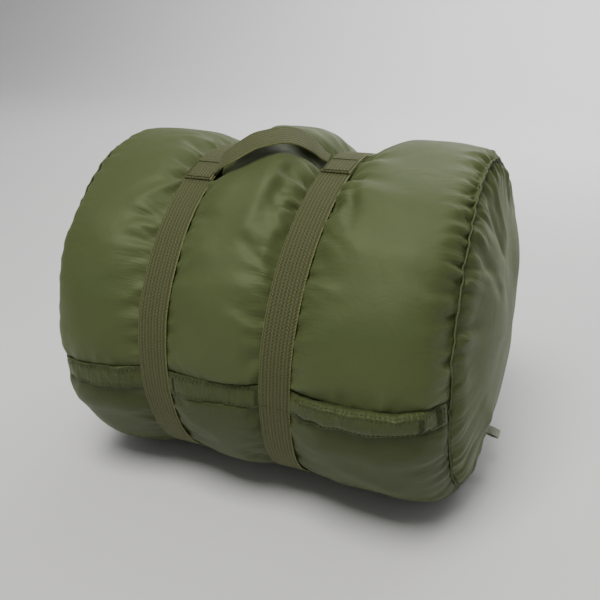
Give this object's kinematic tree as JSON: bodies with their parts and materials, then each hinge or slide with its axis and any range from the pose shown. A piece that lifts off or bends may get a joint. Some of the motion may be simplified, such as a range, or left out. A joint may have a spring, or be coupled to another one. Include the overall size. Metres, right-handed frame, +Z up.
{
  "type": "compression sack",
  "caption": "Stuffed fabric compression sack, a lobed cylinder squeezed by webbing straps with side-release buckles, with a covered front zip and a webbing carry handle.",
  "frame": {"origin": "on the floor under the sack, midway between its ends and between its front and its back", "axes": "+X along the sack to the viewer's right, +Y to the back where the buckles are, +Z up"},
  "size_m": [0.3698, 0.3231, 0.2959],
  "materials": {
    "shell_fabric": "coated olive nylon taffeta, soft satin sheen",
    "webbing": "herringbone nylon webbing, matt",
    "binding_tape": "woven binding tape, matt",
    "bedding_fill": "quilted polyester bedding, inside the sack",
    "zip_tape": "woven polyester tape",
    "zip_coil": "nylon coil",
    "zip_metal": "painted die-cast slider and stops",
    "pull_cord": "webbing pull",
    "grab_tab": "pale twill tab",
    "buckle_plastic": "moulded acetal, olive, fine texture",
    "thread": "bonded nylon thread"
  },
  "bodies": {
    "bag": {"packed_load": "bedding_fill", "upper_shell": "shell_fabric", "lower_shell": "shell_fabric", "left_end_panel": "shell_fabric", "right_end_panel": "shell_fabric", "left_end_binding": "binding_tape", "right_end_binding": "binding_tape", "zip_flap": "shell_fabric", "zip_tape_upper": "zip_tape", "zip_tape_lower": "zip_tape", "zip_coil": "zip_coil", "zip_stops": "zip_metal", "zip_grab_tab": "grab_tab", "left_strap": "webbing", "right_strap": "webbing", "left_strap_slack": "webbing", "right_strap_slack": "webbing", "left_buckle_female": "buckle_plastic", "right_buckle_female": "buckle_plastic", "left_handle_tab": "webbing", "right_handle_tab": "webbing", "handle_stitching": "thread"},
    "handle": {"handle_webbing": "webbing"},
    "left_buckle_release": {"left_buckle_male": "buckle_plastic"},
    "right_buckle_release": {"right_buckle_male": "buckle_plastic"},
    "left_tail": {"left_strap_tail": "webbing"},
    "right_tail": {"right_strap_tail": "webbing"},
    "slider": {"zip_slider": "zip_metal"},
    "pull": {"zip_pull": "pull_cord"}
  },
  "joints": [
    {"name": "handle_swing", "type": "hinge", "parent": "bag", "child": "handle", "pos_m": [-0.043, -0.0585, 0.2646], "axis": [0.8998, 0.4259, 0.0948], "range_deg": [-10, 12]},
    {"name": "left_buckle_slide", "type": "slide", "parent": "bag", "child": "left_buckle_release", "axis": [-0.01, 0, -0.9999], "range_m": [0, 0.028], "deforming": ["left_strap_slack"]},
    {"name": "right_buckle_slide", "type": "slide", "parent": "bag", "child": "right_buckle_release", "axis": [-0.0499, 0, -0.9988], "range_m": [0, 0.028], "deforming": ["right_strap_slack"]},
    {"name": "left_tail_swing", "type": "hinge", "parent": "left_buckle_release", "child": "left_tail", "pos_m": [-0.0592, 0.1559, 0.1193], "axis": [1, 0, 0], "range_deg": [0, 95]},
    {"name": "right_tail_swing", "type": "hinge", "parent": "right_buckle_release", "child": "right_tail", "pos_m": [0.043, 0.1559, 0.1193], "axis": [1, 0, 0], "range_deg": [0, 95]},
    {"name": "zip_slide", "type": "hinge", "parent": "bag", "child": "slider", "pos_m": [0.11, -0.045, 0.1225], "axis": [-0.0499, 0, 0.9988], "range_deg": [-33, 0]},
    {"name": "zip_pull_swing", "type": "hinge", "parent": "slider", "child": "pull", "pos_m": [0.14314, -0.15173, 0.12416], "axis": [-0.0499, 0, 0.9988], "range_deg": [0, 4]}
  ]
}
